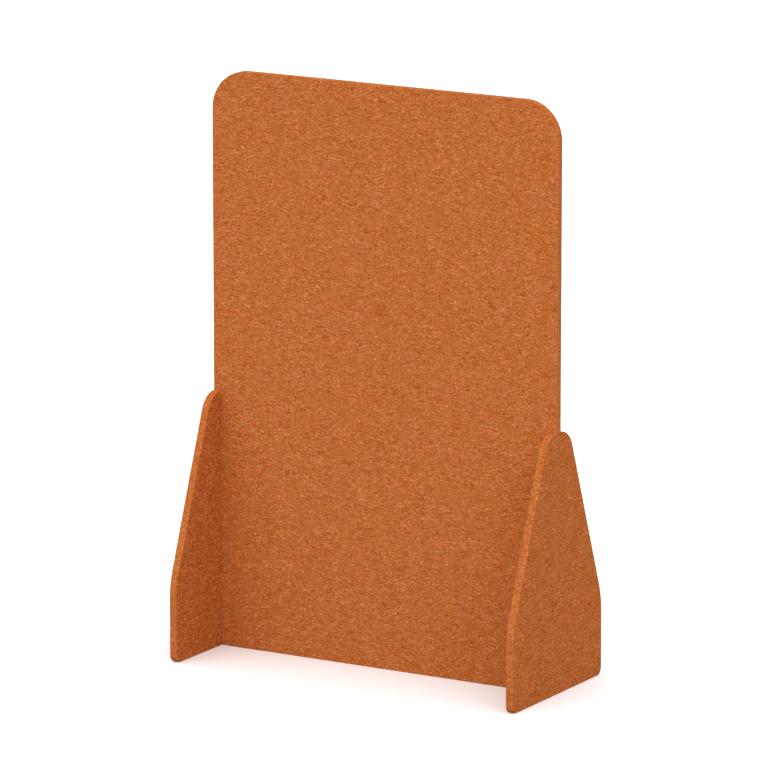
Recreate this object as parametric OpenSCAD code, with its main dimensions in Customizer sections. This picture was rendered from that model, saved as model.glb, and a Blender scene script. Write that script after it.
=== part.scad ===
// Free-standing acoustic divider screen, cut from pressed felt board.
// One tall panel drops into a slot in each of two side wings, which stand it up.
// The outer face of each wing is flush with the end face of the panel.
// Origin: on the floor, at the middle of the footprint.
// +X runs along the panel, -Y is the front and +Z is up. All lengths are in millimetres.

/* [Board] */
// Thickness of the felt board that the panel and both wings are cut from
board_t = 24; // [18:1:30]

/* [Panel] */
// Width of the panel over its two end faces
panel_w = 1200; // [900:10:1600]
// Height of the panel above the floor
panel_h = 1800; // [1400:10:2100]
// Radius of the two top corners of the panel
panel_corner_r = 120; // [20:5:200]

/* [Wings] */
// Depth of a wing along the floor, from its front edge to its back edge
wing_depth = 548; // [440:2:700]
// Height of a wing
wing_h = 804; // [700:2:1000]
// Width over the top of a wing, between the points where its slopes meet its top line
wing_top_w = 130; // [112:1:180]
// Height at which the upright edge of a wing turns into the slope
knee_h = 245; // [200:5:300]
// Radius that rounds the knee between the upright edge and the slope
knee_r = 270; // [50:10:400]
// Radius of the top corners of a wing, as far as the slot leaves room for it
tip_r = 76; // [10:1:76]
// Radius of the bottom corners of a wing
foot_r = 25; // [5:1:60]

/* [Slot joint] */
// Depth of the slot in a wing, from its open top down to its floor
slot_depth = 400; // [300:10:500]
// Play between panel and wing at each upright face of the slot joint
slot_play = 0.15; // [0.05:0.05:0.5]

/* [Locating dowels] */
// Diameter of the wooden dowel that stands in the floor of each slot
dowel_d = 10; // [6:1:12]
// Length of a dowel, half of it in the wing and half in the panel
dowel_length = 60; // [40:2:80]
// Bevel at both ends of a dowel
dowel_bevel = 1; // [0.5:0.25:1.5]
// Number of glue grooves round a dowel
groove_count = 12; // [6:1:16]
// Radius of one glue groove
groove_r = 0.4; // [0.2:0.1:0.5]
// Play round a dowel in the wing, where it is glued
dowel_glue_play = 0.05; // [0.02:0.01:0.1]
// Play round a dowel in the panel, which slides on to it
dowel_slide_play = 0.3; // [0.1:0.05:0.5]
// Depth left over past the end of a dowel in the panel
dowel_end_play = 2; // [1:0.5:5]

/* [Hidden] */
$fn = 180;

// Length by which a cut runs past the surface that it starts from
overrun = 5;
// Faces on a dowel and in its holes
dowel_faces = 48;
// Reach of the wedge that picks one arc out of a corner's circle, as a share of the radius
wedge_share = 2;

felt_orange = [0.73, 0.40, 0.21];
beech = [0.83, 0.68, 0.48];

// The joint: a slot in the wing, a notch in the panel and a dowel between them
slot_floor_h = wing_h - slot_depth;
slot_half_w = board_t / 2 + slot_play;
notch_w = board_t + slot_play;
wing_mid_x = panel_w / 2 - board_t / 2;

// Half the angle inside the wing's top corner, and the largest radius that fits beside the slot
slope_angle = atan2(wing_depth / 2 - wing_top_w / 2, wing_h - knee_h);
tip_half_angle = (90 + slope_angle) / 2;
tip_r_limit = (wing_top_w / 2 - slot_half_w) * tan(tip_half_angle);

// Corners of the right half of each outline, each a point and the radius that rounds it.
// A sharp corner has radius 0.
panel_half = [
    [[panel_w / 2 - notch_w, 0], 0],
    [[panel_w / 2 - notch_w, slot_floor_h], 0],
    [[panel_w / 2, slot_floor_h], 0],
    [[panel_w / 2, panel_h], panel_corner_r],
];
wing_half = [
    [[wing_depth / 2, 0], foot_r],
    [[wing_depth / 2, knee_h], knee_r],
    [[wing_top_w / 2, wing_h], min(tip_r, tip_r_limit)],
    [[slot_half_w, wing_h], 0],
    [[slot_half_w, slot_floor_h], 0],
];

function unit(v) = v / norm(v);

// Half the angle inside corner c, between its neighbours p and q
function half_angle(p, c, q) = acos(unit(p - c) * unit(q - c)) / 2;

// Where a rounding of radius r touches the side from corner c towards p
function touch(p, c, q, r) = c + unit(p - c) * r / tan(half_angle(p, c, q));

// Centre of the circle that rounds corner c with radius r
function round_centre(p, c, q, r) = c + unit(unit(p - c) + unit(q - c)) * r / sin(half_angle(p, c, q));

// The half outline, and then the same corners mirrored and taken backwards
function whole(half) = concat(
    half,
    [for (i = [len(half) - 1:-1:0]) [[-half[i][0][0], half[i][0][1]], half[i][1]]]
);

// Closed outline through corners of [point, radius], with true arcs at the rounded ones
module rounded_outline(corners) {
    n = len(corners);
    chords = [
        for (i = [0:n - 1])
            let (p = corners[(i + n - 1) % n][0], c = corners[i][0], q = corners[(i + 1) % n][0])
            let (r = corners[i][1])
            each r > 0 ? [touch(p, c, q, r), touch(q, c, p, r)] : [c]
    ];
    polygon(chords);
    for (i = [0:n - 1])
        if (corners[i][1] > 0)
            round_sector(corners[(i + n - 1) % n][0], corners[i][0], corners[(i + 1) % n][0], corners[i][1]);
}

// The slice of a rounding's circle that fills corner c
module round_sector(p, c, q, r) {
    centre = round_centre(p, c, q, r);
    intersection() {
        translate(centre) circle(r = r);
        polygon([
            centre,
            centre + wedge_share * (touch(p, c, q, r) - centre),
            centre + wedge_share * (touch(q, c, p, r) - centre),
        ]);
    }
}

// Hole for a dowel, from its closed end at height z up or down past the joint
module dowel_hole(side, z, depth, play) {
    translate([side * wing_mid_x, 0, z])
        cylinder(h = depth, r = dowel_d / 2 + play, $fn = dowel_faces);
}

module main_panel() {
    color(felt_orange)
    difference() {
        rotate([90, 0, 0])
            linear_extrude(height = board_t, center = true)
                rounded_outline(whole(panel_half));
        for (side = [-1, 1])
            dowel_hole(side, slot_floor_h - overrun, overrun + dowel_length / 2 + dowel_end_play,
                dowel_slide_play);
    }
}

// A wing stands square to the panel, at the end that side names: -1 left, 1 right
module wing(side) {
    color(felt_orange)
    difference() {
        translate([side * wing_mid_x - board_t / 2, 0, 0])
            rotate([90, 0, 90])
                linear_extrude(height = board_t)
                    rounded_outline(whole(wing_half));
        dowel_hole(side, slot_floor_h - dowel_length / 2, dowel_length / 2 + overrun, dowel_glue_play);
    }
}

module left_wing() {
    wing(-1);
}

module right_wing() {
    wing(1);
}

// A dowel with bevelled ends and straight glue grooves
module dowel(side) {
    color(beech)
    translate([side * wing_mid_x, 0, slot_floor_h - dowel_length / 2])
        difference() {
            rotate_extrude($fn = dowel_faces)
                polygon([
                    [0, 0],
                    [dowel_d / 2 - dowel_bevel, 0],
                    [dowel_d / 2, dowel_bevel],
                    [dowel_d / 2, dowel_length - dowel_bevel],
                    [dowel_d / 2 - dowel_bevel, dowel_length],
                    [0, dowel_length],
                ]);
            for (i = [0:groove_count - 1])
                rotate([0, 0, i * 360 / groove_count])
                    translate([dowel_d / 2, 0, -overrun])
                        cylinder(h = dowel_length + 2 * overrun, r = groove_r, $fn = dowel_faces);
        }
}

module left_dowel() {
    dowel(-1);
}

module right_dowel() {
    dowel(1);
}

main_panel();
left_wing();
right_wing();
left_dowel();
right_dowel();
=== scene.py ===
"""Looks of a free-standing acoustic divider screen: three boards of pressed felt and two locating dowels.

Each board is a flat outline with a soft arris all round. A board is worked out in its own plane, where u runs
along the board, v goes up and w goes through its thickness.
"""

import math

import bpy
import numpy as np
from bpy.props import FloatProperty, FloatVectorProperty, PointerProperty
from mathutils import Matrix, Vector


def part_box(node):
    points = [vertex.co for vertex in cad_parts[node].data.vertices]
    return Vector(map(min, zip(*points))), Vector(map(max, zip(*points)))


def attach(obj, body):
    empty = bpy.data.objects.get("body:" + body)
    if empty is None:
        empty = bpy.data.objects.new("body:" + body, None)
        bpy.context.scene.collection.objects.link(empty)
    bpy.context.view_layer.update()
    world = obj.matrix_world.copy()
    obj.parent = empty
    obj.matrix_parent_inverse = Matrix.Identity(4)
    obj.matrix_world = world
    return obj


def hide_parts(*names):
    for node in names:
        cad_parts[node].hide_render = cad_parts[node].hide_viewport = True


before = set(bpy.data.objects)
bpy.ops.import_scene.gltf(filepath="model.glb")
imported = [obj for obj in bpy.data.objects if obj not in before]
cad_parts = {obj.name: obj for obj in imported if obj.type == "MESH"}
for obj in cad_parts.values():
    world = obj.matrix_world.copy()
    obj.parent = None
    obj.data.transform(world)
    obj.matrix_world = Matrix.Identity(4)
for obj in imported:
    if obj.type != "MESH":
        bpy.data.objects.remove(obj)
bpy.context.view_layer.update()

bl_info = {
    "name": "Acoustic divider screen",
    "version": (1, 0, 0),
    "blender": (4, 5, 0),
    "location": "3D View > Sidebar > Divider Screen",
    "description": "Felt boards, dowels and studio of a free-standing divider screen",
    "category": "Add Mesh",
}

PANEL_LOW, PANEL_HIGH = (np.array(corner, float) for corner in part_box("main_panel"))
WING_LOW, WING_HIGH = (np.array(corner, float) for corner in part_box("right_wing"))
BOARD = PANEL_HIGH[1] - PANEL_LOW[1]
# Decimal places, in metres, to which corners that share a place agree
MERGE_PLACES = 6
# Mesh faces on a side as short as the board is thick, across a cut edge, round an arris and round a foot
SHORT_STEPS = 6
WALL_STEPS = 6
ARRIS_STEPS = 4
FOOT_STEPS = 8
# Mesh faces across the brim of a hole, and down the hole
BRIM_STEPS = 3
TUBE_STEPS = 8
# Step of a wing's round corner beside the slot, in margins, so that the strip along the edge has room there
FIRST_STEP = 1.6
# Angle between faces from which their edge is drawn sharp
SHARP_ANGLE = math.radians(33)

# Lengths of the slow waves in the boards, and the seed that draws each board's waves
WAVE_LENGTHS = (0.62, 0.34, 0.17, 0.09, 0.045, 0.024)
SEEDS = {"main_panel": 11, "left_wing": 23, "right_wing": 37}
# Distances over which the waves die out: towards the floor and the panel's ends, and round the joint
END_FADE = 0.02
JOINT_FADE = 0.03
# How far below the slot's floor the waves start to die out
FLAT_BELOW = 0.039

# How much paler each part of the melange makes the felt, and the tone where every part is in its middle
PALENESS = {
    "fleck": 1.45,
    "speck": 0.65,
    "streak": 0.75,
    "cloud": 0.2,
    "layer": 0.8,
    "knot": 0.2,
    "pale hair": 0.52,
    "dark hair": -0.52,
    # The arrises' paleness is partly rubbed fuzz and partly a painted highlight on the rounded edge
    "fuzz_and_painted_highlight": 0.05,
}
MIDDLE_TONE = 0.482
# How much each part adds to the felt's roughness and to its height
ROUGHNESS = {"fleck": 0.12, "pale hair": -0.06, "cut": -0.04}
HEIGHT = {"fleck": 0.6, "speck": 0.4, "pale hair": 0.25, "dark hair": 0.12, "layer": 0.6}
# How strongly the tint changes red, green and blue
TINT_SHARES = (0.19, 0.14, 0.54)
# Slow drift of the whole pattern: the size of its lumps and how far it moves a point
DRIFT_SIZE = 0.04
DRIFT = (0.02, 0.006, 0.02)
# How far the tint's noise curls a hair
CURL = (0.009, 0.005, 0.006)
# Turns at which the hairs lie, in degrees, the noise from which a hair shows and how sharply it does
HAIR_TURNS = {"dark hair": (-64, 31), "pale hair": (-21, 9)}
HAIR_LEVEL = 0.56
HAIR_GAIN = 9.0
# Place of the pith of the dowels' wood, from a dowel's middle
PITH = (-0.019, 0.012)


class BoardShape(bpy.types.PropertyGroup):
    """Sizes of the boards and of the joint between them."""

    thickness: FloatProperty(
        name="Thickness", description="Thickness of the felt board", default=BOARD, unit="LENGTH"
    )
    panel_width: FloatProperty(
        name="Panel width",
        description="Width of the panel over its end faces",
        default=PANEL_HIGH[0] - PANEL_LOW[0],
        unit="LENGTH",
    )
    panel_height: FloatProperty(
        name="Panel height", description="Height of the panel", default=PANEL_HIGH[2], unit="LENGTH"
    )
    panel_corner: FloatProperty(
        name="Panel corner", description="Radius of the panel's top corners", default=0.12, unit="LENGTH"
    )
    wing_depth: FloatProperty(
        name="Wing depth",
        description="Depth of a wing along the floor",
        default=WING_HIGH[1] - WING_LOW[1],
        unit="LENGTH",
    )
    wing_height: FloatProperty(
        name="Wing height", description="Height of a wing", default=WING_HIGH[2], unit="LENGTH"
    )
    wing_top: FloatProperty(
        name="Wing top",
        description="Width between the points where a wing's slopes would meet its top line",
        default=0.13,
        unit="LENGTH",
    )
    knee_height: FloatProperty(
        name="Knee height",
        description="Height at which a wing's upright edge turns into its slope",
        default=0.245,
        unit="LENGTH",
    )
    knee_radius: FloatProperty(
        name="Knee radius", description="Radius that rounds a wing's knee", default=0.27, unit="LENGTH"
    )
    foot_radius: FloatProperty(
        name="Foot radius", description="Radius of a wing's bottom corners", default=0.025, unit="LENGTH"
    )
    slot_depth: FloatProperty(
        name="Slot depth", description="Depth of the slot in a wing", default=0.4, unit="LENGTH"
    )
    slot_play: FloatProperty(
        name="Slot play",
        description="Play at each upright face of the slot joint",
        default=0.00015,
        precision=5,
        unit="LENGTH",
    )
    panel_hole: FloatProperty(
        name="Hole in the panel",
        description="Radius of the hole that slides on to a dowel",
        default=0.0053,
        precision=5,
        unit="LENGTH",
    )
    panel_hole_depth: FloatProperty(
        name="Hole depth in the panel",
        description="Depth of the hole that slides on to a dowel",
        default=0.032,
        unit="LENGTH",
    )
    wing_hole: FloatProperty(
        name="Hole in a wing",
        description="Radius of the hole that a dowel is glued in",
        default=0.00505,
        precision=5,
        unit="LENGTH",
    )
    wing_hole_depth: FloatProperty(
        name="Hole depth in a wing",
        description="Depth of the hole that a dowel is glued in",
        default=0.03,
        unit="LENGTH",
    )
    arris: FloatProperty(
        name="Arris",
        description="Radius of the soft edge between a face and a cut edge",
        default=0.0013,
        precision=5,
        unit="LENGTH",
    )
    margin: FloatProperty(
        name="Margin",
        description="Width of the strip of a face that follows its outline",
        default=0.004,
        precision=4,
        unit="LENGTH",
    )
    panel_cell: FloatProperty(
        name="Panel cell", description="Length of a mesh face on the panel", default=0.008, unit="LENGTH"
    )
    wing_cell: FloatProperty(
        name="Wing cell", description="Length of a mesh face on a wing", default=0.0055, unit="LENGTH"
    )
    unevenness: FloatProperty(
        name="Unevenness",
        description="Height of the slow waves in a board's faces and edges",
        default=0.00018,
        precision=5,
        unit="LENGTH",
    )


class FeltLook(bpy.types.PropertyGroup):
    """Colours and fibre sizes of the pressed felt."""

    shade: FloatVectorProperty(
        name="Dark fibre",
        description="Colour of the darkest fibres",
        subtype="COLOR",
        size=4,
        min=0,
        max=1,
        default=(0.4, 0.0775, 0.009, 1),
    )
    body: FloatVectorProperty(
        name="Felt",
        description="Colour of the felt as a whole",
        subtype="COLOR",
        size=4,
        min=0,
        max=1,
        default=(0.515, 0.14, 0.0322, 1),
    )
    pale: FloatVectorProperty(
        name="Pale fibre",
        description="Colour of the palest fibres",
        subtype="COLOR",
        size=4,
        min=0,
        max=1,
        default=(0.654, 0.231, 0.073, 1),
    )
    fleck: FloatVectorProperty(
        name="Fleck",
        description="Length, thickness and height of a fleck of fibres",
        subtype="XYZ",
        unit="LENGTH",
        precision=5,
        default=(0.006, 0.0036, 0.0026),
    )
    speck: FloatProperty(
        name="Speck", description="Size of a small round speck", default=0.0027, precision=5, unit="LENGTH"
    )
    streak: FloatVectorProperty(
        name="Streak",
        description="Length, thickness and height of a streak of fibres",
        subtype="XYZ",
        unit="LENGTH",
        precision=5,
        default=(0.03, 0.01, 0.0038),
    )
    cloud: FloatVectorProperty(
        name="Cloud",
        description="Length, thickness and height of a soft lighter or darker cloud",
        subtype="XYZ",
        unit="LENGTH",
        precision=5,
        default=(0.04, 0.016, 0.011),
    )
    tint: FloatVectorProperty(
        name="Tint",
        description="Length, thickness and height of a patch of redder or yellower fibres",
        subtype="XYZ",
        unit="LENGTH",
        precision=5,
        default=(0.018, 0.009, 0.011),
    )
    hair: FloatVectorProperty(
        name="Hair",
        description="Length, thickness and height of a single hair",
        subtype="XYZ",
        unit="LENGTH",
        precision=5,
        default=(0.0115, 0.0006, 0.0006),
    )
    layer: FloatProperty(
        name="Layer",
        description="Thickness of a layer of fibres, as a cut edge shows it",
        default=0.0017,
        precision=5,
        unit="LENGTH",
    )
    contrast: FloatProperty(
        name="Contrast",
        description="Strength of the panel's melange of pale and dark fibres",
        default=0.93,
        min=0,
    )
    wing_contrast: FloatProperty(
        name="Contrast on the wings", description="Strength of the wings' melange", default=0.86, min=0
    )
    wing_grain: FloatProperty(
        name="Grain on the wings",
        description="Size of the wings' fibres as a multiple of the panel's",
        default=1.4,
        min=0.1,
    )
    roughness: FloatProperty(
        name="Roughness", description="Roughness of the felt on average", default=0.92, min=0, max=1
    )
    shine: FloatProperty(
        name="Shine", description="Strength of the felt's faint shine", default=0.03, min=0, max=1
    )


class BeechLook(bpy.types.PropertyGroup):
    """Colours and ring size of the dowels' wood."""

    early: FloatVectorProperty(
        name="Early wood",
        description="Colour of the pale part of a growth ring",
        subtype="COLOR",
        size=4,
        min=0,
        max=1,
        default=(0.71, 0.49, 0.28, 1),
    )
    late: FloatVectorProperty(
        name="Late wood",
        description="Colour of the dark part of a growth ring",
        subtype="COLOR",
        size=4,
        min=0,
        max=1,
        default=(0.58, 0.36, 0.18, 1),
    )
    pore: FloatVectorProperty(
        name="Pore",
        description="Colour of the short pores",
        subtype="COLOR",
        size=4,
        min=0,
        max=1,
        default=(0.3, 0.16, 0.07, 1),
    )
    ray: FloatVectorProperty(
        name="Ray",
        description="Colour of the pale rays",
        subtype="COLOR",
        size=4,
        min=0,
        max=1,
        default=(0.78, 0.6, 0.4, 1),
    )
    ring: FloatProperty(
        name="Ring", description="Width of a growth ring", default=0.0021, precision=4, unit="LENGTH"
    )


class StudioLook(bpy.types.PropertyGroup):
    """Floor, light and camera."""

    level: FloatProperty(name="Level", description="Light that comes from every side", default=0.16, min=0)
    above: FloatProperty(name="From above", description="Light added from straight above", default=1.27)
    ahead: FloatProperty(name="From the front", description="Light added from the front", default=0.385)
    beside: FloatProperty(name="From the side", description="Light added from the front right", default=0.72)
    beside_turn: FloatProperty(
        name="Side's turn",
        description="Turn of the light from the side, from straight right towards the front",
        subtype="ANGLE",
        default=math.radians(58),
    )
    floor_size: FloatProperty(
        name="Floor", description="Width and depth of the floor", default=30.0, unit="LENGTH"
    )
    floor_white: FloatProperty(
        name="Floor white", description="Share of light that the floor gives back", default=0.49, min=0, max=1
    )
    floor_glow: FloatProperty(
        name="Floor glow", description="Light that only the camera sees in the floor", default=0.05, min=0
    )
    floor_rise: FloatProperty(
        name="Floor rise",
        description="How much more the floor glows away from the screen than beside it",
        default=0.12,
        min=0,
    )
    floor_reach: FloatProperty(
        name="Floor reach",
        description="Distance from the screen at which the floor glows fully",
        default=0.45,
        min=0.01,
        unit="LENGTH",
    )
    camera_place: FloatVectorProperty(
        name="Camera",
        description="Place of the camera",
        subtype="XYZ",
        unit="LENGTH",
        default=(9.7534, -16.6181, 5.1215),
    )
    camera_yaw: FloatProperty(
        name="Yaw",
        description="Turn of the camera about the upright",
        subtype="ANGLE",
        default=math.radians(30.408),
    )
    camera_pitch: FloatProperty(
        name="Pitch",
        description="Tilt of the camera below the level",
        subtype="ANGLE",
        default=math.radians(12.419),
    )
    lens: FloatProperty(
        name="Lens", description="Focal length in millimetres on a 36 mm film", default=304.697
    )


def straight(start, end, steps):
    """Points start + t (end - start), for steps even values of t from 0, leaving out t = 1."""
    t = np.arange(steps)[:, None] / steps
    start, end = np.asarray(start, float), np.asarray(end, float)
    return start + t * (end - start)


def bend(centre, radius, angles):
    """Points centre + radius (cos a, sin a), for the angles a but the last."""
    a = np.asarray(angles, float)[:-1]
    return np.asarray(centre, float) + radius * np.stack([np.cos(a), np.sin(a)], axis=1)


def steps_over(length, cell):
    """Number of cells on a length, at least 2 and even, so that a side has a middle point."""
    return max(2, 2 * round(length / cell / 2))


class Outline:
    """A closed loop in a board's plane, made of named sides that follow each other. It runs anticlockwise,
    seen from +w."""

    def __init__(self, **sides):
        self.points = np.concatenate(list(sides.values()))
        counts = [len(side) for side in sides.values()]
        self.first = dict(zip(sides, np.cumsum([0] + counts[:-1])))
        self.steps = dict(zip(sides, counts))

    def along(self, first, last=None, begin=0.0, end=1.0):
        """Indices from the share begin of side first to the share end of side last, with both ends."""
        last = last or first
        low = self.first[first] + round(begin * self.steps[first])
        high = self.first[last] + round(end * self.steps[last])
        count = len(self.points)
        return np.arange(low, high + 1 if high >= low else high + 1 + count) % count

    def outward(self):
        """For each point, the way out that moves both its edges by the same distance: the sum of the two
        edges' normals over 1 plus their dot product."""
        edge = np.roll(self.points, -1, axis=0) - self.points
        normal = np.stack([edge[:, 1], -edge[:, 0]], axis=1) / np.linalg.norm(edge, axis=1)[:, None]
        before = np.roll(normal, 1, axis=0)
        return (normal + before) / (1 + (normal * before).sum(1))[:, None]


def panel_outline(shape):
    """The panel from the front: a rectangle with two round top corners, and a notch at each bottom corner."""
    half, high, corner = shape.panel_width / 2, shape.panel_height, shape.panel_corner
    notch = shape.thickness + shape.slot_play
    roof = shape.wing_height - shape.slot_depth
    cell = shape.panel_cell
    inner = half - notch
    across, up = steps_over(2 * inner, cell), steps_over(high - corner - roof, cell)
    tall = steps_over(roof, cell)
    round_steps = steps_over(corner * math.pi / 2, cell)
    top = across + 2 * SHORT_STEPS - round_steps
    quarter = np.linspace(0, math.pi / 2, round_steps + 1)
    return Outline(
        bottom=straight((-inner, 0), (inner, 0), across),
        right_notch=straight((inner, 0), (inner, roof), tall),
        right_roof=straight((inner, roof), (half, roof), SHORT_STEPS),
        right=straight((half, roof), (half, high - corner), up),
        right_corner=bend((half - corner, high - corner), corner, quarter),
        top=straight((half - corner, high), (corner - half, high), top),
        left_corner=bend((corner - half, high - corner), corner, quarter + math.pi / 2),
        left=straight((-half, high - corner), (-half, roof), up),
        left_roof=straight((-half, roof), (-inner, roof), SHORT_STEPS),
        left_notch=straight((-inner, roof), (-inner, 0), tall),
    )


def wing_outline(shape):
    """A wing from its outer side: upright edges, knees, slopes up to two round corners, and the slot between.

    A round corner's arc touches the slope and the top line, and starts where the slot's wall ends."""
    half, high, top = shape.wing_depth / 2, shape.wing_height, shape.wing_top / 2
    foot, knee = shape.foot_radius, shape.knee_radius
    gap, floor = shape.thickness / 2 + shape.slot_play, high - shape.slot_depth
    cell = shape.wing_cell
    lean = math.atan2(half - top, high - shape.knee_height)
    knee_touch = knee * math.tan(lean / 2)
    tip_touch = top - gap
    tip = tip_touch * math.tan((math.pi / 2 + lean) / 2)
    along = np.array([-math.sin(lean), math.cos(lean)])
    knee_corner, tip_corner = np.array([half, shape.knee_height]), np.array([top, high])
    knee_centre = (half - knee, shape.knee_height - knee_touch)
    slope_low, slope_high = knee_corner + along * knee_touch, tip_corner - along * tip_touch
    split = slope_low + along * (floor - slope_low[1]) / along[1]
    ear = steps_over(split[0] - gap, cell)
    wall = steps_over(shape.slot_depth, cell)
    knee_steps = steps_over(knee * lean, cell)
    lower = steps_over(split[1] - slope_low[1], cell)
    base = 2 * ear + SHORT_STEPS - FOOT_STEPS
    upright = steps_over(shape.knee_height - knee_touch - foot, cell)
    first = FIRST_STEP * shape.margin / tip
    tip_angles = np.append(np.linspace(lean, math.pi / 2 - first, ear), math.pi / 2)
    knee_angles = np.linspace(0, lean, knee_steps + 1)
    foot_angles = np.linspace(-math.pi / 2, 0, FOOT_STEPS + 1)
    tip_centre = (gap, high - tip)
    flip = np.array([-1.0, 1.0])
    return Outline(
        base=straight((foot - half, 0), (half - foot, 0), base),
        right_foot=bend((half - foot, foot), foot, foot_angles),
        right_upright=straight((half, foot), (half, shape.knee_height - knee_touch), upright),
        right_knee=bend(knee_centre, knee, knee_angles),
        right_lower=straight(slope_low, split, lower),
        right_slope=straight(split, slope_high, wall),
        right_tip=bend(tip_centre, tip, tip_angles),
        right_wall=straight((gap, high), (gap, floor), wall),
        floor=straight((gap, floor), (-gap, floor), SHORT_STEPS),
        left_wall=straight((-gap, floor), (-gap, high), wall),
        left_tip=bend(tip_centre * flip, tip, math.pi - tip_angles[::-1]),
        left_slope=straight(slope_high * flip, split * flip, wall),
        left_lower=straight(split * flip, slope_low * flip, lower),
        left_knee=bend(knee_centre * flip, knee, math.pi - knee_angles[::-1]),
        left_upright=straight((-half, shape.knee_height - knee_touch), (-half, foot), upright),
        left_foot=bend((foot - half, foot), foot, foot_angles - math.pi / 2),
    )


def blended(bottom, top, left, right):
    """Grid over four sides that meet at their ends. A point at shares s and t is the mix of bottom and top by
    t, plus the mix of left and right by s, less the mix of the four corners by both."""
    s = np.linspace(0, 1, len(bottom))[:, None, None]
    t = np.linspace(0, 1, len(left))[None, :, None]
    across = (1 - t) * bottom[:, None] + t * top[:, None]
    up = (1 - s) * left[None] + s * right[None]
    low = (1 - s) * bottom[0] + s * bottom[-1]
    high = (1 - s) * top[0] + s * top[-1]
    return across + up - (1 - t) * low - t * high


def cells(grid, keep=None):
    """The four corners of each cell of a grid of points, in the order along, then up. keep chooses cells."""
    corners = np.stack([grid[:-1, :-1], grid[1:, :-1], grid[1:, 1:], grid[:-1, 1:]], axis=2)
    return corners[keep] if keep is not None else corners.reshape(-1, 4, grid.shape[-1])


def face_cells(patches, half):
    """The patches of a board's plane as its two faces: at w = half as they are, and at -half turned round."""
    made = []
    for patch in patches:
        flat = cells(patch)
        none = np.zeros(flat.shape[:2] + (1,))
        made.append(np.concatenate([flat, none + half, none], axis=2))
        made.append(np.concatenate([flat, none - half, none], axis=2)[:, ::-1])
    return made


def edge_profile(shape):
    """Section of a board's edge, from one face to the other: rows of (depth in from the outline, w, cut).

    A quarter circle of the arris' radius joins each face to the cut edge. cut goes from 0 on a face to 1 on
    the cut edge. Returns the rows, and the number of the row where the flat part of the cut edge begins."""
    half, radius = shape.thickness / 2, shape.arris
    a = np.linspace(0, math.pi / 2, ARRIS_STEPS + 1)
    arris = np.stack([radius * (1 - np.sin(a)), half - radius * (1 - np.cos(a)), a / (math.pi / 2)], axis=1)
    wall = np.linspace(half - radius, radius - half, WALL_STEPS + 1)[1:-1]
    middle = np.stack([0 * wall, wall, 0 * wall + 1], axis=1)
    upper = np.concatenate([[[shape.margin, half, 0]], arris])
    lower = upper[::-1] * (1, -1, 1)
    return np.concatenate([upper, middle, lower]), len(upper) - 1


def edge_grid(outline, profile):
    """The profile carried round the outline: point k moved in by each row's depth, at the row's w."""
    out = outline.outward()
    flat = outline.points[:, None] - profile[None, :, 0, None] * out[:, None]
    rest = np.broadcast_to(profile[None, :, 1:], flat.shape[:2] + (2,))
    return np.concatenate([flat, rest], axis=2)


def hole_cells(grid, span, rows, middle, radius, into, depth):
    """A round hole in the part of an edge's grid that span and rows pick out.

    The part's rim, taken once round, shrinks evenly to a circle about middle, the circle goes by depth the
    way that into points, and four quarters of it blended across close the bottom."""
    low, high = rows
    ring = np.concatenate(
        [
            grid[span[0], low:high],
            grid[span[:-1], high],
            grid[span[-1], high:low:-1],
            grid[span[:0:-1], low],
        ]
    )
    count = len(ring)
    ring = ring[:, :3]
    side = into / np.linalg.norm(into)
    first = ring[0] - middle
    first = first - side * (first @ side)
    first = first / np.linalg.norm(first)
    second = np.cross(-side, first)
    corners = np.array([0, high - low, high - low + len(span) - 1, 2 * (high - low) + len(span) - 1, count])
    angle = np.interp(np.arange(count + 1), corners, np.linspace(0, 2 * math.pi, 5))
    circle = middle + radius * (np.cos(angle)[:, None] * first + np.sin(angle)[:, None] * second)
    ring = np.concatenate([ring, ring[:1]])
    share = np.linspace(0, 1, BRIM_STEPS + 1)[None, :, None]
    brim = (1 - share) * ring[:, None] + share * circle[:, None]
    down = np.linspace(0, depth, TUBE_STEPS + 1)[None, :, None]
    tube = circle[:, None] + down * side
    end = circle + depth * side
    arcs = [end[corners[i] : corners[i + 1] + 1] for i in range(4)]
    disc = blended(arcs[0], arcs[2][::-1], arcs[3][::-1], arcs[1])
    made = [cells(part) for part in (brim, tube, disc)]
    return [np.concatenate([part, np.ones(part.shape[:2] + (1,))], axis=2) for part in made]


def weld(parts):
    """Merges the corners that share a place. Returns points of (u, v, w, cut) and faces of four indices."""
    corners = np.concatenate(parts)
    flat = corners.reshape(-1, 4)
    key = np.round(flat[:, :3], MERGE_PLACES)
    _, first, back = np.unique(key + 0.0, axis=0, return_index=True, return_inverse=True)
    return flat[first], back.reshape(-1, 4)


def point_normals(points, faces):
    """Unit sum, at each point, of the cross products of its faces' diagonals."""
    corner = points[faces]
    cross = np.cross(corner[:, 2] - corner[:, 0], corner[:, 3] - corner[:, 1])
    total = np.stack(
        [np.bincount(faces.ravel(), np.repeat(cross[:, i], 4), len(points)) for i in range(3)], axis=1
    )
    return total / np.linalg.norm(total, axis=1)[:, None]


def waves(points, seed, lengths, height):
    """Sum of sine waves over the points, two for each wave length, each with a drawn direction and phase. A
    longer wave is higher, in proportion to the root of its length."""
    draw = np.random.default_rng(seed)
    lengths = np.repeat(np.asarray(lengths, float), 2)
    way = draw.normal(size=(len(lengths), 3))
    way = way / np.linalg.norm(way, axis=1)[:, None] * (2 * math.pi / lengths)[:, None]
    tall = np.sqrt(lengths) / np.sqrt(lengths.sum())
    return height * (np.sin(points @ way.T + draw.uniform(0, 2 * math.pi, len(lengths))) @ tall)


def ease(x):
    """0 below 0, 1 above 1, and 3 x squared less 2 x cubed in between."""
    x = np.clip(x, 0, 1)
    return x * x * (3 - 2 * x)


def uneven(points, faces, seed, height, free):
    """Moves each point along its normal by the waves, times free, which is 0 where boards touch."""
    place = points[:, :3]
    push = waves(place, seed, WAVE_LENGTHS, height) * free
    return place + point_normals(place, faces) * push[:, None]


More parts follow.
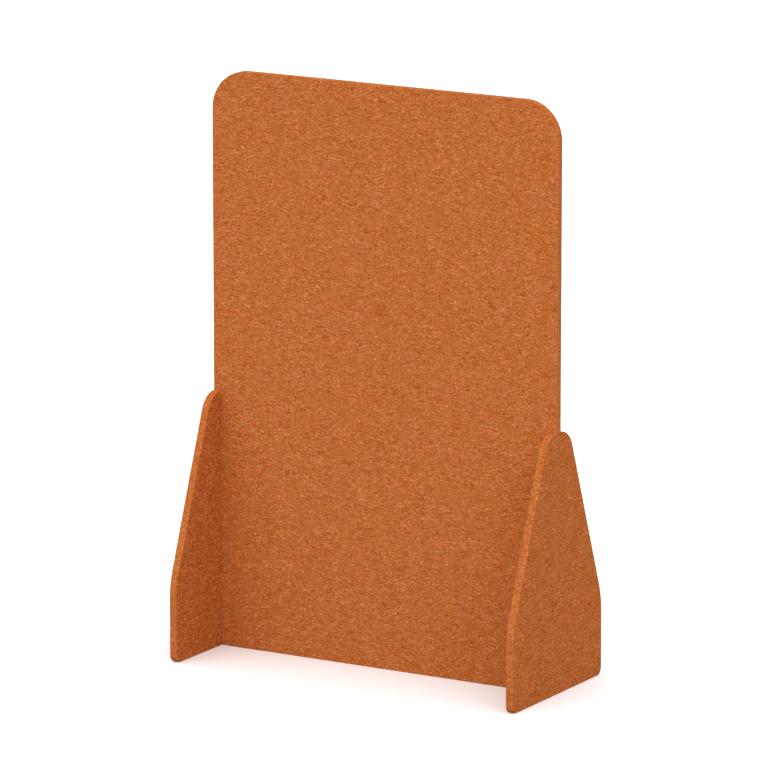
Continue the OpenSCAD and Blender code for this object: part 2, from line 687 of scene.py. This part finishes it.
def felt_mesh(name, places, faces, cut, material):
    """A smooth shaded mesh of quads, with the share of cut edge on each point for the material."""
    mesh = bpy.data.meshes.new(name)
    mesh.vertices.add(len(places))
    mesh.vertices.foreach_set("co", places.astype(np.float32).ravel())
    mesh.loops.add(faces.size)
    mesh.loops.foreach_set("vertex_index", faces.astype(np.int32).ravel())
    mesh.polygons.add(len(faces))
    mesh.polygons.foreach_set("loop_start", np.arange(0, faces.size, 4, dtype=np.int32))
    mesh.update(calc_edges=True)
    mesh.shade_smooth()
    mesh.set_sharp_from_angle(angle=SHARP_ANGLE)
    share = mesh.attributes.new("cut", "FLOAT", "POINT")
    share.data.foreach_set("value", cut.astype(np.float32))
    mesh.materials.append(material)
    if mesh.validate():
        raise ValueError(f"{name} has bad faces")
    piece = bpy.data.objects.new(name, mesh)
    bpy.context.scene.collection.objects.link(piece)
    return piece


def panel_cells(shape):
    """All cells of the panel in its plane: a wide patch above the notches, one between them, the edge and two
    holes in the roofs of the notches."""
    outline = panel_outline(shape)
    profile, low = edge_profile(shape)
    grid = edge_grid(outline, profile)
    inside = grid[:, 0, :2]
    right_turn = inside[outline.along("right_roof")[0]]
    left_turn = inside[outline.along("left_roof")[-1]]
    shared = straight(left_turn, right_turn, outline.steps["bottom"])
    shared = np.concatenate([shared, right_turn[None]])
    floor_line = np.concatenate(
        [inside[outline.along("left_roof")], shared[1:-1], inside[outline.along("right_roof")]]
    )
    upper = blended(
        floor_line,
        inside[outline.along("right_corner", "left_corner", 0.5, 0.5)][::-1],
        inside[outline.along("left_corner", "left", 0.5)][::-1],
        inside[outline.along("right", "right_corner", 0, 0.5)],
    )
    lower = blended(
        inside[outline.along("bottom")],
        shared,
        inside[outline.along("left_notch")][::-1],
        inside[outline.along("right_notch")],
    )
    parts = face_cells([upper, lower], shape.thickness / 2)
    closed = np.concatenate([grid, grid[:1]])
    keep = np.ones((len(grid), len(profile) - 1), bool)
    mid = shape.panel_width / 2 - shape.thickness / 2
    roof = shape.wing_height - shape.slot_depth
    for side, name in ((-1, "left_roof"), (1, "right_roof")):
        span = outline.along(name)
        keep[span[:-1], low : low + WALL_STEPS] = False
        parts += hole_cells(
            grid,
            span,
            (low, low + WALL_STEPS),
            np.array([side * mid, roof, 0]),
            shape.panel_hole,
            np.array([0.0, 1.0, 0.0]),
            shape.panel_hole_depth,
        )
    parts.append(cells(closed, keep)[:, ::-1])
    return parts


def wing_cells(shape):
    """All cells of a wing in its plane: one patch below the slot's floor, one on each side of the slot, the
    edge and the hole in the slot's floor."""
    outline = wing_outline(shape)
    profile, low = edge_profile(shape)
    grid = edge_grid(outline, profile)
    inside = grid[:, 0, :2]
    right_turn, left_turn = inside[outline.along("floor")[[0, -1]]]
    right_split = inside[outline.along("right_slope")[0]]
    left_split = inside[outline.along("left_slope")[-1]]
    ear = outline.steps["right_tip"]
    right_line = np.concatenate([straight(right_turn, right_split, ear), right_split[None]])
    left_line = np.concatenate([straight(left_split, left_turn, ear), left_turn[None]])
    right_ear = blended(
        right_line,
        inside[outline.along("right_tip")][::-1],
        inside[outline.along("right_wall")][::-1],
        inside[outline.along("right_slope")],
    )
    left_ear = blended(
        left_line,
        inside[outline.along("left_tip")][::-1],
        inside[outline.along("left_slope")][::-1],
        inside[outline.along("left_wall")],
    )
    lower = blended(
        inside[outline.along("left_foot", "right_foot", 0.5, 0.5)],
        np.concatenate([left_line, inside[outline.along("floor")][::-1][1:-1], right_line]),
        inside[outline.along("left_lower", "left_foot", 0, 0.5)][::-1],
        inside[outline.along("right_foot", "right_lower", 0.5)],
    )
    parts = face_cells([lower, right_ear, left_ear], shape.thickness / 2)
    closed = np.concatenate([grid, grid[:1]])
    keep = np.ones((len(grid), len(profile) - 1), bool)
    span = outline.along("floor")
    keep[span[:-1], low : low + WALL_STEPS] = False
    parts += hole_cells(
        grid,
        span,
        (low, low + WALL_STEPS),
        np.array([0, shape.wing_height - shape.slot_depth, 0]),
        shape.wing_hole,
        np.array([0.0, -1.0, 0.0]),
        shape.wing_hole_depth,
    )
    parts.append(cells(closed, keep)[:, ::-1])
    return parts


class Wire:
    """An output of a node. Python arithmetic on it adds Math nodes to its tree."""

    def __init__(self, bench, socket):
        self.bench, self.socket = bench, socket

    def other(self, name):
        """Another output of the same node."""
        return Wire(self.bench, self.socket.node.outputs[name])

    def maths(self, operation, *values):
        """Adds a Math node on the values."""
        return self.bench.node("ShaderNodeMath", {"operation": operation}, dict(enumerate(values)))

    def raised(self, gain, shift):
        """This times gain plus shift, kept between 0 and 1."""
        settings = {"operation": "MULTIPLY_ADD", "use_clamp": True}
        return self.bench.node("ShaderNodeMath", settings, {0: self, 1: gain, 2: shift})

    def __add__(self, value):
        return self.maths("ADD", self, value)

    def __radd__(self, value):
        return self.maths("ADD", value, self)

    def __sub__(self, value):
        return self.maths("SUBTRACT", self, value)

    def __rsub__(self, value):
        return self.maths("SUBTRACT", value, self)

    def __mul__(self, value):
        return self.maths("MULTIPLY", self, value)

    def __rmul__(self, value):
        return self.maths("MULTIPLY", value, self)

    def __truediv__(self, value):
        return self.maths("DIVIDE", self, value)

    def __rtruediv__(self, value):
        return self.maths("DIVIDE", value, self)

    def __pow__(self, value):
        return self.maths("POWER", self, value)

    def __abs__(self):
        return self.maths("ABSOLUTE", self)

    def __neg__(self):
        return self.maths("MULTIPLY", self, -1.0)


class Bench:
    """A node tree that is being filled."""

    def __init__(self, tree):
        self.tree = tree
        tree.nodes.clear()

    def node(self, kind, settings=None, sockets=None, give=0):
        """Adds a node: first its settings, then its inputs' values or wires. Returns the output give."""
        made = self.tree.nodes.new(kind)
        for key, value in (settings or {}).items():
            if key == "stops":
                self.fill_ramp(made.color_ramp, value)
            else:
                setattr(made, key, value)
        for key, value in (sockets or {}).items():
            if isinstance(value, Wire):
                self.tree.links.new(value.socket, made.inputs[key])
            else:
                made.inputs[key].default_value = value
        return Wire(self, made.outputs[give]) if made.outputs else None

    def fill_ramp(self, ramp, stops):
        """Sets a colour ramp to stops of (place, value)."""
        while len(ramp.elements) < len(stops):
            ramp.elements.new(1.0)
        for element, (place, value) in zip(ramp.elements, stops):
            element.position = place
            element.color = (value,) * 3 + (1.0,) if isinstance(value, float) else value

    def mix(self, share, first, second):
        """The colour first, turned into second by share."""
        return self.node("ShaderNodeMix", {"data_type": "RGBA"}, {0: share, 6: first, 7: second}, 2)

    def vector(self, operation, first, second):
        """Adds a Vector Math node on the two."""
        return self.node("ShaderNodeVectorMath", {"operation": operation}, {0: first, 1: second})

    def noise(self, place, size, detail=0.0, give=0):
        """Smooth noise whose lumps have the given size, in metres: one number, or one for each axis."""
        size = (size,) * 3 if isinstance(size, float) else size
        scaled = self.vector("DIVIDE", place, tuple(size))
        return self.node(
            "ShaderNodeTexNoise",
            {"noise_dimensions": "3D"},
            {"Vector": scaled, "Scale": 1.0, "Detail": detail},
            give,
        )


def mixed(parts, weights):
    """Sum of the parts that the weights name, each times its weight."""
    terms = [parts[name] * weight for name, weight in weights.items()]
    return sum(terms[1:], terms[0])


def hairs(bench, place, size, turns):
    """Thin hairs, 1 in the middle of a hair and 0 between them: for each of two turns about the board's
    thickness, the gain times what the noise of long thin lumps has above the level, and of both the more."""
    laid = []
    for turn in turns:
        rotation = (0.0, math.radians(turn), 0.0)
        turned = bench.node("ShaderNodeMapping", None, {"Vector": place, "Rotation": rotation})
        laid.append(bench.noise(turned, size).raised(HAIR_GAIN, -HAIR_LEVEL * HAIR_GAIN))
    return laid[0].maths("MAXIMUM", *laid)


def felt(name, turned, grain, contrast, look):
    """Pressed felt: flecks, specks, streaks and hairs of pale and dark fibre in faint clouds, matte all over.

    turned brings the pattern's thickness direction to lie through the board, and grain is the pattern's
    scale. The cut edges show the fibres' layers. The arrises are a little paler, partly from rubbed fuzz
    and partly as a painted highlight along the rounded edge."""
    material = bpy.data.materials.new(name)
    material.use_nodes = True
    bench = Bench(material.node_tree)
    place = bench.node("ShaderNodeTexCoord", give="Object")
    laid = {"Vector": place, "Rotation": (0.0, 0.0, turned), "Scale": (1 / grain,) * 3}
    place = bench.node("ShaderNodeMapping", None, laid)
    cut = bench.node("ShaderNodeAttribute", {"attribute_name": "cut"}, give="Fac")
    drift = bench.noise(place, DRIFT_SIZE, 1.0, give="Color")
    drift = bench.vector("MULTIPLY", bench.vector("SUBTRACT", drift, (0.5, 0.5, 0.5)), DRIFT)
    swirled = bench.vector("ADD", place, drift)
    tint = bench.noise(swirled, tuple(look.tint), give="Color")
    tint = bench.vector("SUBTRACT", tint, (0.5, 0.5, 0.5))
    curled = bench.vector("ADD", swirled, bench.vector("MULTIPLY", tint, CURL))
    parts = {
        "fleck": bench.noise(swirled, tuple(look.fleck)) - 0.5,
        "speck": bench.noise(swirled, look.speck) - 0.5,
        "streak": bench.noise(swirled, tuple(look.streak)) - 0.5,
        "cloud": bench.noise(swirled, tuple(look.cloud)) - 0.5,
        "layer": (bench.noise(place, (0.05, look.layer, 0.05), 1.0) - 0.5) * cut,
        "cut": cut,
        # Paler arrises: partly rubbed fuzz, partly a painted highlight on the rounded edge
        "fuzz_and_painted_highlight": cut * (1 - cut) * 4,
    }
    # A knot is the pale middle of a speck
    parts["knot"] = parts["speck"].raised(7.0, -1.0)
    for kind, turns in HAIR_TURNS.items():
        parts[kind] = hairs(bench, curled, tuple(look.hair), turns)
    share = mixed(parts, PALENESS) * (contrast / 2) + MIDDLE_TONE
    shade, body, pale = (np.array(part) for part in (look.shade, look.body, look.pale))
    fibres = (shade**2 / body, shade, body, pale, pale**2 / body)
    stops = [(step / 4, tuple(fibre)) for step, fibre in enumerate(fibres)]
    colour = bench.node("ShaderNodeValToRGB", {"stops": stops}, {"Fac": share})
    tint = bench.vector("MULTIPLY", tint, TINT_SHARES)
    colour = bench.vector("MULTIPLY", colour, bench.vector("ADD", tint, (1.0, 1.0, 1.0)))
    relief = {"Strength": 0.3, "Distance": 0.0005, "Height": mixed(parts, HEIGHT)}
    normal = bench.node("ShaderNodeBump", None, relief)
    surface = bench.node(
        "ShaderNodeBsdfPrincipled",
        None,
        {
            "Base Color": colour,
            "Roughness": mixed(parts, ROUGHNESS) + look.roughness,
            "Normal": normal,
            "Specular IOR Level": look.shine,
        },
    )
    bench.node("ShaderNodeOutputMaterial", None, {"Surface": surface})
    return material


def beech(name, look, middle):
    """Bare turned beech: growth rings about a pith beside the dowel, short dark pores and pale rays."""
    material = bpy.data.materials.new(name)
    material.use_nodes = True
    bench = Bench(material.node_tree)
    place = bench.node("ShaderNodeTexCoord", give="Object")
    apart = bench.node("ShaderNodeSeparateXYZ", None, {"Vector": place})
    x, y, z = abs(apart) - middle, apart.other("Y"), apart.other("Z")
    own = bench.node("ShaderNodeCombineXYZ", None, {"X": x, "Y": y, "Z": z})
    waver = bench.noise(own, (0.006, 0.006, 0.05), 1.0) - 0.5
    away = ((x - PITH[0]) ** 2.0 + (y - PITH[1]) ** 2.0) ** 0.5
    ring = bench.node("ShaderNodeMath", {"operation": "FRACT"}, {0: away / look.ring + waver * 0.5})
    band = bench.node(
        "ShaderNodeValToRGB", {"stops": [(0.0, 0.05), (0.72, 0.55), (0.93, 1.0), (1.0, 0.1)]}, {"Fac": ring}
    )
    pore = bench.noise(own, (0.0003, 0.0003, 0.004), 1.0)
    pore = bench.node("ShaderNodeValToRGB", {"stops": [(0.6, 0.0), (0.7, 1.0)]}, {"Fac": pore})
    ray = bench.noise(own, (0.0005, 0.0016, 0.0025))
    ray = bench.node("ShaderNodeValToRGB", {"stops": [(0.62, 0.0), (0.7, 1.0)]}, {"Fac": ray})
    band, pore, ray = (bench.node("ShaderNodeRGBToBW", None, {"Color": part}) for part in (band, pore, ray))
    colour = bench.mix(band * 0.8, tuple(look.early), tuple(look.late))
    colour = bench.mix(pore * 0.45, colour, tuple(look.pore))
    colour = bench.mix(ray * 0.3, colour, tuple(look.ray))
    normal = bench.node(
        "ShaderNodeBump", None, {"Strength": 0.4, "Distance": 0.0002, "Height": 1.0 - pore * 0.8 - band * 0.2}
    )
    surface = bench.node(
        "ShaderNodeBsdfPrincipled",
        None,
        {
            "Base Color": colour,
            "Roughness": 0.5 + pore * 0.2 - ray * 0.12,
            "Normal": normal,
            "Specular IOR Level": 0.4,
        },
    )
    bench.node("ShaderNodeOutputMaterial", None, {"Surface": surface})
    return material


def seen_directly(bench):
    """1 for rays from the camera, and for those that a mirror or glass sends on, and 0 for others."""
    path = bench.node("ShaderNodeLightPath", give="Is Camera Ray")
    both = path.maths("MAXIMUM", path, path.other("Is Glossy Ray"))
    return both.maths("MAXIMUM", both, path.other("Is Transmission Ray"))


class DIVIDER_OT_stage(bpy.types.Operator):
    """Lay the white floor, set the soft light and place the camera"""

    bl_idname = "divider.stage"
    bl_label = "Stage"

    def execute(self, context):
        scene, look = context.scene, context.scene.divider_studio
        half = look.floor_size / 2
        grid = np.linspace(-half, half, 9)
        u, v = np.meshgrid(grid, grid, indexing="ij")
        corners = cells(np.stack([u, v, 0 * u], axis=2))
        mesh = bpy.data.meshes.new("floor")
        points, back = np.unique(corners.reshape(-1, 3), axis=0, return_inverse=True)
        mesh.from_pydata(points.tolist(), [], back.reshape(-1, 4).tolist())
        floor = bpy.data.objects.new("floor", mesh)
        scene.collection.objects.link(floor)
        mesh.materials.append(self.floor_material(look))
        self.light_sky(scene, look)
        self.place_camera(scene, look)
        return {"FINISHED"}

    def floor_material(self, look):
        """White paper to the camera, which glows more away from the screen, and grey to all other light."""
        material = bpy.data.materials.new("studio floor")
        material.use_nodes = True
        bench = Bench(material.node_tree)
        white = look.floor_white
        plain = bench.node("ShaderNodeBsdfDiffuse", None, {"Color": (white, white, white, 1.0)})
        paper = bench.node("ShaderNodeBsdfDiffuse", None, {"Color": (1.0, 1.0, 1.0, 1.0)})
        place = bench.node("ShaderNodeTexCoord", give="Object")
        place = bench.node("ShaderNodeSeparateXYZ", None, {"Vector": place})
        off = abs(place) - PANEL_HIGH[0], abs(place.other("Y")) - BOARD
        across, along = (part.maths("MAXIMUM", part, 0.0) for part in off)
        away = (across**2.0 + along**2.0) ** 0.5
        rise = away.maths("MINIMUM", away / look.floor_reach, 1.0) * look.floor_rise
        glow = bench.node("ShaderNodeEmission", None, {"Color": rise + look.floor_glow, "Strength": 1.0})
        bright = bench.node("ShaderNodeAddShader", None, {0: paper, 1: glow})
        shown = bench.node("ShaderNodeMixShader", None, {0: seen_directly(bench), 1: plain, 2: bright})
        bench.node("ShaderNodeOutputMaterial", None, {"Surface": shown})
        return material

    def light_sky(self, scene, look):
        """Light by direction: a level, plus shares of how far the direction points up, to the front and to
        the side, none of them below 0. The camera sees plain white."""
        world = bpy.data.worlds.new("studio")
        world.use_nodes = True
        scene.world = world
        bench = Bench(world.node_tree)
        way = bench.node("ShaderNodeTexCoord", give="Generated")
        apart = bench.node("ShaderNodeSeparateXYZ", None, {"Vector": way})
        east, north = math.cos(look.beside_turn), -math.sin(look.beside_turn)
        up, ahead, beside = (
            way.maths("MAXIMUM", part, 0.0)
            for part in (apart.other("Z"), -apart.other("Y"), apart * east + apart.other("Y") * north)
        )
        sky = look.level + up * look.above + ahead * look.ahead + beside * look.beside
        seen = seen_directly(bench)
        shown = sky * (1 - seen) + seen
        light = bench.node("ShaderNodeBackground", None, {"Color": shown, "Strength": 1.0})
        bench.node("ShaderNodeOutputWorld", None, {"Surface": light})

    def place_camera(self, scene, look):
        data = bpy.data.cameras.new("camera")
        data.lens, data.sensor_width, data.sensor_fit = look.lens, 36.0, "AUTO"
        data.clip_start, data.clip_end = 0.1, 200.0
        camera = bpy.data.objects.new("camera", data)
        camera.location = look.camera_place
        camera.rotation_euler = (math.pi / 2 - look.camera_pitch, 0.0, look.camera_yaw)
        scene.collection.objects.link(camera)
        scene.camera = camera
        scene.view_settings.view_transform = "Standard"


class DIVIDER_OT_main_panel(bpy.types.Operator):
    """Make the tall panel of pressed felt with its two notches"""

    bl_idname = "divider.main_panel"
    bl_label = "Main panel"

    def execute(self, context):
        shape, look = context.scene.divider_shape, context.scene.divider_felt
        points, faces = weld(panel_cells(shape))
        u, v = np.abs(points[:, 0]), points[:, 1]
        joint = shape.panel_width / 2 - 2 * shape.thickness
        free = 1 - ease((u - joint) / END_FADE) * ease((shape.wing_height - v) / JOINT_FADE + 1)
        free = free * ease(v / END_FADE)
        place = uneven(points, faces, SEEDS["main_panel"], shape.unevenness, free)
        place = np.stack([place[:, 0], -place[:, 2], place[:, 1]], axis=1)
        material = felt("felt along the panel", 0.0, 1.0, look.contrast, look)
        panel = felt_mesh("felt_panel", place, faces, points[:, 3], material)
        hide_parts("main_panel")
        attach(panel, "panel")
        return {"FINISHED"}


class DIVIDER_OT_wings(bpy.types.Operator):
    """Make the two slotted side wings of pressed felt"""

    bl_idname = "divider.wings"
    bl_label = "Wings"

    def execute(self, context):
        shape, look = context.scene.divider_shape, context.scene.divider_felt
        points, faces = weld(wing_cells(shape))
        material = felt("felt along the wings", math.pi / 2, look.wing_grain, look.wing_contrast, look)
        middle = shape.panel_width / 2 - shape.thickness / 2
        floor = shape.wing_height - shape.slot_depth
        for name, side in (("left_wing", -1), ("right_wing", 1)):
            u, v, w = np.abs(points[:, 0]), points[:, 1], side * points[:, 2]
            near = 1 - ease((u - shape.thickness / 2) / JOINT_FADE)
            touching = near * np.maximum(ease((v - floor + FLAT_BELOW) / JOINT_FADE), w < 0)
            free = (1 - touching) * ease(v / END_FADE)
            place = uneven(points, faces, SEEDS[name], shape.unevenness, free)
            place = np.stack([place[:, 2] + side * middle, place[:, 0], place[:, 1]], axis=1)
            wing = felt_mesh(f"felt_{name}", place, faces, points[:, 3], material)
            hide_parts(name)
            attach(wing, "wings")
        return {"FINISHED"}


class DIVIDER_OT_dowels(bpy.types.Operator):
    """Give the two locating dowels their beech"""

    bl_idname = "divider.dowels"
    bl_label = "Dowels"

    def execute(self, context):
        shape, look = context.scene.divider_shape, context.scene.divider_beech
        material = beech("turned beech", look, shape.panel_width / 2 - shape.thickness / 2)
        for name in ("left_dowel", "right_dowel"):
            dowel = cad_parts[name]
            for slot in dowel.material_slots:
                slot.link = "OBJECT"
                slot.material = material
        return {"FINISHED"}


class DIVIDER_PT_screen(bpy.types.Panel):
    """Sizes, finishes and makers of the divider screen"""

    bl_idname = "DIVIDER_PT_screen"
    bl_label = "Divider Screen"
    bl_space_type = "VIEW_3D"
    bl_region_type = "UI"
    bl_category = "Divider Screen"

    def draw(self, context):
        scene, layout = context.scene, self.layout
        for title, group in (
            ("Boards", scene.divider_shape),
            ("Felt", scene.divider_felt),
            ("Beech", scene.divider_beech),
            ("Studio", scene.divider_studio),
        ):
            box = layout.box()
            box.label(text=title)
            for key in group.__annotations__:
                box.prop(group, key)
        for maker in MAKERS:
            layout.operator(maker.bl_idname)


GROUPS = {
    "divider_shape": BoardShape,
    "divider_felt": FeltLook,
    "divider_beech": BeechLook,
    "divider_studio": StudioLook,
}
MAKERS = (DIVIDER_OT_stage, DIVIDER_OT_main_panel, DIVIDER_OT_wings, DIVIDER_OT_dowels)


def register():
    for name, group in GROUPS.items():
        bpy.utils.register_class(group)
        setattr(bpy.types.Scene, name, PointerProperty(type=group))
    for maker in MAKERS + (DIVIDER_PT_screen,):
        bpy.utils.register_class(maker)


def unregister():
    for maker in reversed(MAKERS + (DIVIDER_PT_screen,)):
        bpy.utils.unregister_class(maker)
    for name, group in GROUPS.items():
        delattr(bpy.types.Scene, name)
        bpy.utils.unregister_class(group)


def main():
    """Registers the classes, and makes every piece."""
    register()
    bpy.ops.divider.stage()
    bpy.ops.divider.main_panel()
    bpy.ops.divider.wings()
    bpy.ops.divider.dowels()


if __name__ == "__main__":
    main()
